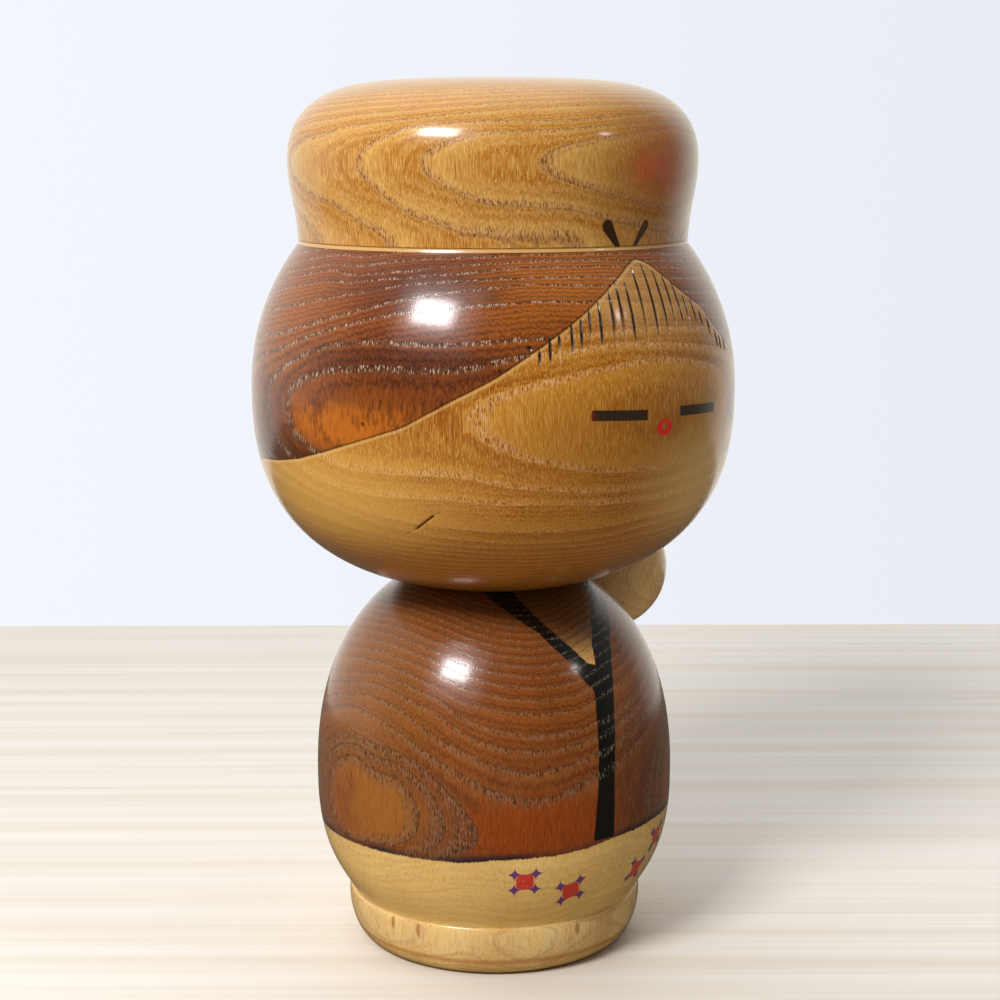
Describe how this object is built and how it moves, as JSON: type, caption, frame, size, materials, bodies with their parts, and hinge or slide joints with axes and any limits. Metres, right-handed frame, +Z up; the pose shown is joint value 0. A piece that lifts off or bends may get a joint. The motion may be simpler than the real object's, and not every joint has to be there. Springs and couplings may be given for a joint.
{
  "type": "kokeshi doll",
  "caption": "Turned wooden kokeshi: round body on a foot, broad swivelling head, flat topknot and a small round head at the left shoulder.",
  "frame": {"origin": "centre of the foot's flat underside, on the axis that the doll is turned about", "axes": "+Z up along the turning axis, -Y the way the painted face looks at rest, +X towards the doll's left side"},
  "size_m": [0.1063, 0.0998, 0.1804],
  "materials": {
    "natural_zelkova": "clear gloss lacquer",
    "stained_zelkova": "brown stain under clear gloss lacquer",
    "dowel_wood": "bare"
  },
  "bodies": {
    "body": {"foot": "natural_zelkova", "body": "stained_zelkova", "child_head": "natural_zelkova", "child_peg": "dowel_wood"},
    "head": {"head": "stained_zelkova", "topknot": "natural_zelkova", "neck_dowel": "dowel_wood", "topknot_dowel": "dowel_wood"}
  },
  "joints": [
    {"name": "head_turn", "type": "hinge", "parent": "body", "child": "head", "pos_m": [0, 0, 0.0783], "axis": [0, 0, 1], "continuous": true}
  ]
}
